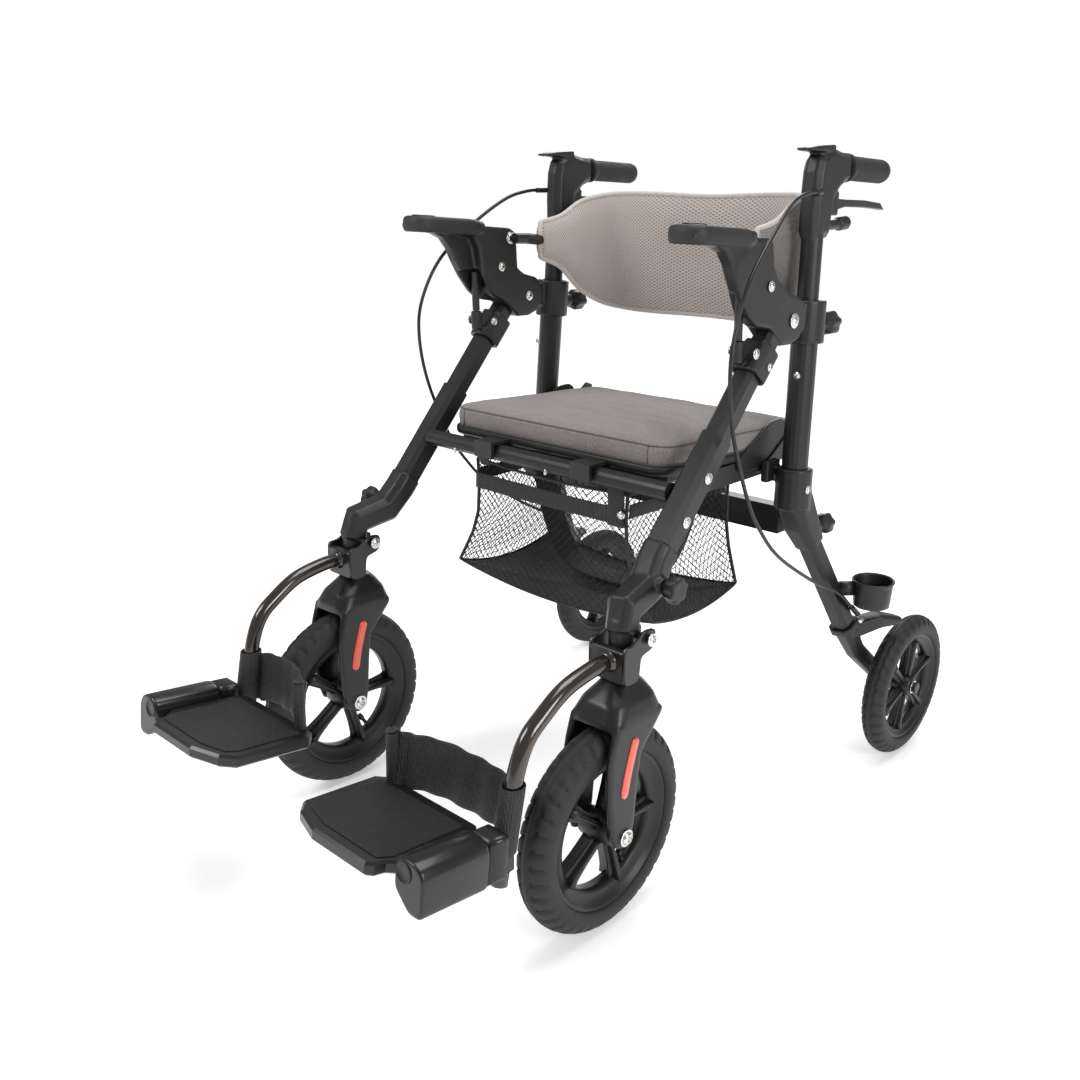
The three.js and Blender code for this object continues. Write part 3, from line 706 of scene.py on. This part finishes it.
CABLE = [
    (222, 48, 812), (231, 34, 812), (233, 4, 811), (237, -38, 800), (248, -93, 766), (257, -148, 720),
    (262, -179, 665), (263, -185, 614), (263, -171, 548), (263, -134, 467), (263, -100, 420),
    (264, -55, 377), (267, 27, 325), (273, 88, 293), (275.5, 120, 267), (276, 146, 246),
]
cable_route = spline([at(*p) for p in CABLE], 150)
for side, sign in SIDES.items():
    parts = swept(cable_route, circle(2.4, 10))
    cable = piece(f"{side}_cable", *parts, JACKET, None, "cable_jacket", flip=sign < 0)
    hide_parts(f"{side}_brake_cable")
    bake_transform(cable)
pair("cable_end", *swept(cable_route[-9:], circle(3.9)), JACKET, "rear_frame", "cable_jacket")
pair("cable_start", *swept(cable_route[:15], circle(3.6)), JACKET, "handle", "cable_jacket")


# ---- reflectors ---------------------------------------------------------------------
STRIP = [(-350, 246), (-357, 226), (-364, 202), (-369, 178)]
STRIP_STEPS = 24
curve = spline([Vector((y, z, 0)) for y, z in STRIP], STRIP_STEPS)
strips = []
for face_x, outward in ((277.2, 1), (205.6, -1)):
    strip = [at(face_x, p.x, p.y) for p in curve]
    facing = Vector((outward, 0, 0))
    rings = []
    for i, p in enumerate(strip):
        along = (strip[min(i + 1, STRIP_STEPS)] - strip[max(i - 1, 0)]).normalized()
        across = along.cross(facing)
        end = min(i, STRIP_STEPS - i) / 3
        half = 6.2 * (math.sqrt(max(0.04, 1 - (1 - end) ** 2)) if end < 1 else 1)
        section = ((half, -2.5), (half, 0.6), (half * 0.8, 1.3), (-half * 0.8, 1.3), (-half, 0.6),
                   (-half, -2.5))
        rings.append([p + (across * u + facing * v) / 1000 for u, v in section])
    strips.append(stack(rings))
pair("reflector", *merged(*strips), RED, "caster", "moulded_black")


# ---- seat cushion -------------------------------------------------------------------
SEAT_TILT = (-2.6, -46, 494)


def seat_plan(grow, radius, steps=6):
    """The seat's outline, grown outward."""
    return rounded(-186 - grow, 186 + grow, -197 - grow, 105 + grow, radius, steps)


def cushion_rings():
    """The cushion's outline at each height, with the same number of points in each."""
    levels = [(-16, 494.8), (-5, 495.2), (-1.5, 498), (0, 503), (0.6, 510), (0.2, 516), (-1.2, 519.5)]
    levels += [(-2.2, 521), (-4.5, 523.6), (-9, 525.6), (-18, 527), (-34, 528.2), (-60, 529.2),
               (-92, 529.8), (-130, 530.1)]
    rings = []
    for grow, z in levels:
        ring = dense(seat_plan(grow, max(26 + grow, 8)), 6)
        if rings and len(ring) != len(rings[0]):
            ring = resample(ring, len(rings[0]))
        rings.append([(x, y, z) for x, y in ring])
    return rings


def resample(ring, count):
    """The same closed outline with its points spread evenly."""
    lengths = [math.dist(a, b) for a, b in zip(ring, ring[1:] + ring[:1])]
    total = sum(lengths)
    out, k, passed = [], 0, 0.0
    for i in range(count):
        goal = total * i / count
        while passed + lengths[k] < goal:
            passed += lengths[k]
            k += 1
        share = (goal - passed) / lengths[k]
        a, b = ring[k], ring[(k + 1) % len(ring)]
        out.append((a[0] + (b[0] - a[0]) * share, a[1] + (b[1] - a[1]) * share))
    return out


def crumple(p):
    """Small dents and puckers of a foam cushion's cover, in millimetres."""
    x, y, z = p
    soft = noise.noise(Vector((x, y, z)) / 60) * 1.3 + noise.noise(Vector((x, y, z)) / 22) * 0.5
    pucker = noise.noise(Vector((x / 9, y / 9, z / 40))) * 0.45 if z < 521 else 0
    return (x + pucker * (1 if x > 0 else -1), y + pucker * (-1 if y < -40 else 1),
            z + (soft if z > 524 else 0))


rings = [[at(*crumple(p)) for p in ring] for ring in cushion_rings()]
verts, faces = stack(rings)
cushion = piece("cushion", tilt(verts, *SEAT_TILT), faces, SEAT, "seat", "seat_fabric")
cushion.modifiers.new("soft", "SUBSURF").levels = 1
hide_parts("seat_cushion")
for name, grow, z, radius in (("seam_top", -1.9, 520.6, 0.9), ("seam_bottom", -1.0, 497.6, 1.3)):
    route = [at(x, y, z) for x, y in dense(seat_plan(grow, 25), 5)]
    verts, faces = swept(route, circle(radius, 8), closed=True)
    piece(name, tilt(verts, *SEAT_TILT), faces, SEAM, "seat", "seat_fabric")
corner_seams = []
for x in (-160, 160):
    for y, out in ((-197, -1), (105, 1)):
        route = [at(x, y - out * 0.6, 497), at(x, y, 508), at(x, y - out * 0.4, 515),
                 at(x, y - out * 1.6, 520)]
        corner_seams.append(swept(spline(route, 10), circle(0.8, 6)))
verts, faces = merged(*corner_seams)
piece("seam_corners", tilt(verts, *SEAT_TILT), faces, SEAM, "seat", "seat_fabric")

tray = []
for grow, z in ((-6, 486), (-1, 484.5), (1.6, 486), (2.4, 489), (2.4, 494.5), (1.6, 496.4),
                (-1, 496.4), (-6, 494)):
    ring = seat_plan(grow, 26, 8)
    tray.append([at(x, y, z) for x, y in ring])
verts, faces = stack(tray, closed=True)
piece("seat_tray", tilt(verts, *SEAT_TILT), faces, PLASTIC, "seat", "moulded_black")
GUSSET = [(-50, 486), (-20, 503), (26, 527), (50, 528), (62, 520), (66, 468), (-46, 470)]
for side, sign in SIDES.items():
    verts, faces = plate(soft_outline(GUSSET, 5), 187.4, 190.4, 1)
    piece(f"{side}_seat_gusset", verts, faces, PLASTIC, "seat", "moulded_black", smooth=False, flip=sign < 0)


# ---- backrest -----------------------------------------------------------------------
HALF_PAD = [(181, -22, 745, 24), (180, 20, 741, 36), (178, 60, 734, 62), (170, 96, 728, 76),
            (150, 120, 725, 82), (100, 132, 723, 84), (0, 136, 722, 82)]
PAD_STEPS = 110
PAD_AROUND = 32
pad_stations = HALF_PAD + [(-x, y, z, h) for x, y, z, h in reversed(HALF_PAD[:-1])]
middle = spline([at(x, y, z) for x, y, z, h in pad_stations], PAD_STEPS)
heights = [p.x for p in spline([Vector((h, 0, 0)) for x, y, z, h in pad_stations], PAD_STEPS)]


def pad_ring(i, thick):
    """The pad's pillow section at one station along its curve."""
    before, after = middle[max(i - 1, 0)], middle[min(i + 1, len(middle) - 1)]
    along = Vector((after.x - before.x, after.y - before.y, 0)).normalized()
    inward = Vector((along.y, -along.x, 0))
    end = min(i, len(middle) - 1 - i)
    soften = min(1, 0.74 + end / 40)
    half = heights[i]
    ring = []
    for k in range(PAD_AROUND):
        t = 2 * math.pi * k / PAD_AROUND
        u, v = math.cos(t), math.sin(t)
        u = math.copysign(abs(u) ** 0.5, u) * thick * soften * (0.4 + 0.6 * (1 - abs(v) ** 4))
        v = math.copysign(abs(v) ** 0.8, v) * half
        ring.append(middle[i] + inward * u / 1000 + Vector((0, 0, v / 1000)))
    return ring


rings = [pad_ring(i, 11.5) for i in range(len(middle))]
verts, faces = stack(rings)
pad = piece("backrest_cushion", verts, faces, AIR, "backrest", "air_mesh")
pad.data.materials.append(BACKING)
for polygon in pad.data.polygons:
    spot = polygon.center
    near = min(range(len(middle)), key=lambda i: (middle[i] - spot).length_squared)
    before, after = middle[max(near - 1, 0)], middle[min(near + 1, len(middle) - 1)]
    inward = Vector((after.y - before.y, before.x - after.x, 0)).normalized()
    if polygon.normal.dot(inward) < -0.25:
        polygon.material_index = 1
plan = pad.data.uv_layers.new(name="surface")
for loop in pad.data.loops:
    k = loop.vertex_index
    plan.data[loop.index].uv = (k // PAD_AROUND * 0.0052, pad.data.vertices[k].co.z)
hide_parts("backrest_pad")
edge = [middle[i] + Vector((0, 0, heights[i] / 1000)) for i in range(len(middle))]
edge += [middle[i] - Vector((0, 0, heights[i] / 1000)) for i in reversed(range(len(middle)))]
verts, faces = swept(edge, circle(3.8, 10), closed=True)
piece("backrest_piping", verts, faces, SATIN, "backrest", "air_mesh")


# ---- basket -------------------------------------------------------------------------
HALF_WIDTHS = [(290, 171), (307, 174), (330, 160), (356, 145), (387, 134), (430, 131), (462, 133)]


def half_width(z):
    for (z0, w0), (z1, w1) in zip(HALF_WIDTHS, HALF_WIDTHS[1:]):
        if z <= z1:
            return w0 + (w1 - w0) * max(z - z0, 0) / (z1 - z0)
    return HALF_WIDTHS[-1][1]


AROUND = 176


def basket_outline(z):
    """The bag's outline at a height; its panels are drawn in between their corners."""
    front, rear = half_width(z), 150 + (half_width(z) - 131) * 0.5
    points = []
    corners = [(front, -197), (-front, -197), (-rear, -8), (rear, -8)]
    for k in range(4):
        (x0, y0), (x1, y1) = corners[k], corners[(k + 1) % 4]
        for i in range(AROUND // 4):
            t = i / (AROUND // 4)
            pull = 7 * math.sin(math.pi * t) ** 0.8 * math.sin(math.pi * min(max((z - 296) / 160, 0), 1))
            x, y = x0 + (x1 - x0) * t, y0 + (y1 - y0) * t
            points.append((x - math.copysign(pull, x), y) if k % 2 else (x, y + (pull if k == 0 else -pull)))
    return points


def foot(k):
    """Height of the bag's bottom edge, which hangs lowest between the corners."""
    t = (k % (AROUND // 4)) / (AROUND // 4)
    return 307 - 16 * math.sin(math.pi * t) ** 0.8


def head(k):
    t = (k % (AROUND // 4)) / (AROUND // 4)
    return 463 - 6 * math.sin(math.pi * t)


NET_ROWS = 30
net_rings = []
for row in range(NET_ROWS + 1):
    ring = []
    for k in range(AROUND):
        z = foot(k) + (head(k) - foot(k)) * row / NET_ROWS
        ring.append(at(*basket_outline(z)[k], z))
    net_rings.append(ring)
# the net's meshes stand on their corners, so its threads run along both diagonals
verts = [v for ring in net_rings for v in ring]
faces = []
for i in range(1, NET_ROWS):
    for j in range(AROUND):
        if (i + j) % 2 == 0:
            left, right = (j - 1) % AROUND, (j + 1) % AROUND
            faces.append(((i - 1) * AROUND + j, i * AROUND + right, (i + 1) * AROUND + j, i * AROUND + left))


def across_fold(obj):
    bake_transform(obj)
    return obj


net = piece("basket_mesh", verts, faces, NET, None, "basket_net", smooth=False)
wires = net.modifiers.new("threads", "WIREFRAME")
wires.thickness = 0.0014
wires.use_even_offset = False
wires.use_boundary = True
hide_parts("basket")
across_fold(net)
bottom = net_rings[0]
low = []
for s in (0.03, 0.2, 0.4, 0.6, 0.78, 0.9, 0.97, 1.0):
    hang = 12 * (1 - s ** 2)
    low.append([Vector((p.x * s, (p.y - 0.05) * s + 0.05, p.z - (p.z - 0.291) * (1 - s) - hang / 1000))
                for p in bottom])
verts, faces = stack(low, caps=False)
base = piece("basket_base", verts, faces, BASKET, None, "basket_net")
base.modifiers.new("cloth", "SOLIDIFY").thickness = 0.0012
across_fold(base)


def hem(name, route, radius, closed=False):
    obj = piece(name, *swept(route, circle(radius, 8), closed=closed), BASKET, None, "basket_net")
    return across_fold(obj)


hem("basket_rim", net_rings[-1], 2.2, True)
hem("basket_seam", net_rings[0], 1.8, True)
for k in range(4):
    hem(f"basket_corner_{k}", [ring[k * AROUND // 4] for ring in net_rings], 2.4)


def ribbon(route, width, thick, direction=(0, 0, 1)):
    """A flat webbing band whose width lies along direction."""
    w, t = width / 2, thick / 2
    section = [(w, -t * 0.5), (w, t * 0.5), (w * 0.9, t), (-w * 0.9, t)]
    section += [(-w, t * 0.5), (-w, -t * 0.5), (-w * 0.9, -t), (w * 0.9, -t)]
    rings = []
    lay = Vector(direction)
    for i, p in enumerate(route):
        along = (route[min(i + 1, len(route) - 1)] - route[max(i - 1, 0)]).normalized()
        wide = (lay - along * lay.dot(along)).normalized()
        out = along.cross(wide)
        rings.append([p + (wide * u + out * v) / 1000 for u, v in section])
    return stack(rings)


band_points = []
for x in (-134, -80, 0, 80, 134):
    bow = 1 - (x / 134) ** 2
    band_points.append(at(x, -199.5 + 5 * bow, 433 - 3 * bow))
front_band = spline(band_points, 30)
across_fold(piece("basket_band_front", *ribbon(front_band, 22, 2), WEBBING, None, "webbing"))
BAND = [(134, -194), (135, -150), (136, -100), (141, -50), (149, -12)]
for side, sign in SIDES.items():
    band = spline([at(sign * x, y, 440) for x, y in BAND], 20)
    across_fold(piece(f"basket_band_{side}", *ribbon(band, 18, 2), WEBBING, None, "webbing"))
sling_points = ((-148, 474), (-134, 430), (-108, 350), (-70, 300), (0, 290), (70, 300), (108, 350),
                (134, 430), (148, 474))
sling = spline([at(x, -66, z) for x, z in sling_points], 70)
piece("basket_sling", *ribbon(sling, 44, 2, (0, 1, 0)), WEBBING, "rear_frame", "webbing")
for x in (-118, -30, 40):
    tab = spline([at(x, -205, 478), at(x, -200, 466), at(x, -196, 456)], 8)
    across_fold(piece(f"basket_tab_{x + 200}", *ribbon(tab, 20, 2, (1, 0, 0)), WEBBING, None, "webbing"))
stud_tab = spline([at(118, -206, 480), at(118, -201.5, 458), at(118, -201.5, 420)], 14)
across_fold(piece("stud_tab", *ribbon(stud_tab, 26, 2.4, (1, 0, 0)), WEBBING, None, "webbing"))
stud = turned([(0, 0.5), (0, 6), (1.5, 5.8), (3, 4.6), (3.8, 2.6), (4, 0.1)], at(128, -202.7, 437),
              (0, -1, 0), 24)
across_fold(piece("tab_stud", *stud, ZINC, None, "gloss_black"))
pins = [turned([(0, 2.2), (11, 2.2), (12.5, 1.4), (12.6, 0.1)], at(x, -221, 484), (0, -0.3, -1), 12)
        for x in (-150, 20)]
piece("rail_pins", *merged(*pins), ZINC, "front_frame", "gloss_black")


# ---- footrests ----------------------------------------------------------------------
PLATE_TILT = (-7, -555, 200)
PLATE = [(76, -546), (212, -546), (213, -640), (204, -654), (120, -654), (84, -644), (76, -630)]
ring = dense(PLATE, 8)
mat_rings = [[at(x, y, 196.6) for x, y in ring], [at(x, y, 197.9) for x, y in ring]]
centre = (145, -598)
for s in (0.985, 0.6, 0.2):
    shrunk = [(centre[0] + (x - centre[0]) * s, centre[1] + (y - centre[1]) * s) for x, y in ring]
    mat_rings.append([at(x, y, 198.3) for x, y in shrunk])
verts, faces = stack(mat_rings)
pair("footplate_mat", tilt(verts, *PLATE_TILT), faces, RIBBED, "footplate", "moulded_black", smooth=False)

TUBE = [(-352, 330), (-366, 330), (-390, 329), (-430, 321), (-463, 303), (-487, 284), (-502, 254),
        (-514, 205), (-524, 158), (-529, 134)]
tube_route = spline([at(243, y, z) for y, z in TUBE], 90)
tubes = pair("footrest_tube", *swept(tube_route, circle(9.5, 28)), LACQUER, "footrest", "gloss_black")
for tube, side in zip(tubes, SIDES):
    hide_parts(f"{side}_footrest")
weld = turned([(-1, 9.6), (0, 13.2), (1.6, 12.8), (4, 10.6), (5.6, 9.5)], at(243, -360.6, 330),
              (0, -1, 0), 28)
pair("footrest_weld", *weld, LACQUER, "footrest", "gloss_black")

CHEEK = [(-361, 350), (-361, 310), (-354, 305), (-336, 305), (-333, 333), (-312, 338), (-307, 348),
         (-309, 360), (-326, 362), (-343, 351)]
cheeks = [plate(soft_outline(CHEEK), x0, x1, 1.2) for x0, x1 in ((215, 219.5), (262.5, 267))]
block_rings = []
for y, e in ((-351.5, 0), (-359.5, 0), (-361, 1.5)):
    block_rings.append([at(x, y, z) for x, z in rounded(215.6 + e, 266.4 - e, 307 + e, 345 - e, 5)])
block = stack(block_rings)
pair("footrest_bracket", *merged(*cheeks, block), GLOSSY, "footrest", "moulded_black", smooth=False)

HOUSING = [(229, 178), (228, 199), (232, 209), (241, 213), (254, 213), (265, 208), (270, 198),
           (270, 163), (266, 158), (252, 158), (241, 167)]
ring = soft_outline(HOUSING)
rings = []
for y, inset in ((-564, 2.2), (-565.5, 0.6), (-568, 0), (-648, 0), (-650.4, 0.7), (-651.6, 2.4), (-651.6, 4)):
    share = 1 - inset / 24
    rings.append([at(250 + (x - 250) * share, y, 188 + (z - 188) * share) for x, z in ring])
verts, faces = stack(rings)
lug = stack([[at(x, y, z) for x, z in rounded(232, 266, 158, 208, 6)] for y in (-536, -538, -560)])
housing = merged((verts, faces), lug)
pair("footplate_housing", tilt(housing[0], *PLATE_TILT), housing[1], GLOSSY, "footrest", "moulded_black")
cap = turned([(0, 11.5), (1.2, 11.3), (1.4, 10), (0.4, 9.2), (0.4, 0.01)], at(242, -651.4, 198),
             (0, -1, 0), 32)
pair("hinge_cap", tilt(cap[0], *PLATE_TILT), cap[1], PLASTIC, "footrest", "moulded_black")
foot_clamp = stack([[at(x, y, z) for x, z in rounded(231, 255, 148, 182, 7)]
                    for y in (-518, -520, -544, -546)])
pair("tube_clamp", *foot_clamp, GLOSSY, "footrest", "moulded_black")

STRAP = [(90, -538, 224), (97, -533, 224), (112, -524, 223), (138, -513, 220), (170, -504, 216),
         (200, -500, 211), (226, -502, 207), (240, -503, 205)]
strap_mid = spline([at(*p) for p in STRAP], 60)
rumple = []
for i, p in enumerate(strap_mid):
    rumple.append(p + Vector((0, 1.2 * math.sin(i * 0.7) / 1000, 0.8 * math.sin(i * 0.31) / 1000)))
for side, sign in SIDES.items():
    band = piece(f"{side}_strap", *ribbon(rumple, 64, 1.8, (0, 0.15, 1)), WEBBING, None, "webbing",
                 flip=sign < 0)
    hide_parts(f"{side}_calf_strap")
    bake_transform(band)
loop_rings = []
for k in range(32):
    t = 2 * math.pi * k / 32
    column = []
    for z, grow in ((170, 0), (169, 1.2), (170, 2.0), (240, 2.0), (241, 1.2), (240, 0)):
        lean = (205 - z) * 0.21
        column.append(at(243 + (11 + grow) * math.cos(t), -514 - lean + (12 + grow) * math.sin(t), z))
    loop_rings.append(column)
pair("strap_loop", *stack(loop_rings, closed=True), WEBBING, "footrest", "webbing")
post_loop = []
for k in range(24):
    t = 2 * math.pi * k / 24
    column = []
    for z, grow in ((196, 0), (195, 1), (196, 1.8), (255, 1.8), (256, 1), (255, 0)):
        column.append(at(88 + (5 + grow) * math.cos(t),
                         -539 + (z - 224) * 0.03 + (5.4 + grow) * math.sin(t), z))
    post_loop.append(column)
post_cap = turned([(0, 0.01), (0, 6.5), (2, 6.5), (3, 4.6), (3, 3.2), (1.4, 3), (1.4, 0.01)],
                  at(88, -538, 257), (0, 0, 1), 20)
pair("post_loop", *merged(stack(post_loop, closed=True), post_cap), WEBBING, "footplate", "webbing")


# ---- cup holder ---------------------------------------------------------------------
cup = turned([
    (0, 0.2), (0, 22), (1.5, 24.3), (8, 25), (30, 26.6), (35.5, 27.2), (36, 28.6), (38, 29), (39, 28),
    (38, 26), (36, 25.3), (10, 23.4), (5, 22), (4, 19), (4, 0.2),
], at(295, 145, 264), (0, 0, 1), 48)
arm_route = [at(x, y, 290) for x, y in ((262, 112), (270, 120), (277, 128))]
arm = swept(arm_route, [(5, -9), (5, 9), (-5, 9), (-5, -9)])
holder = piece("cup", *merged(cup, arm), PLASTIC, "rear_frame", "moulded_black")
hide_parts("cup_holder")
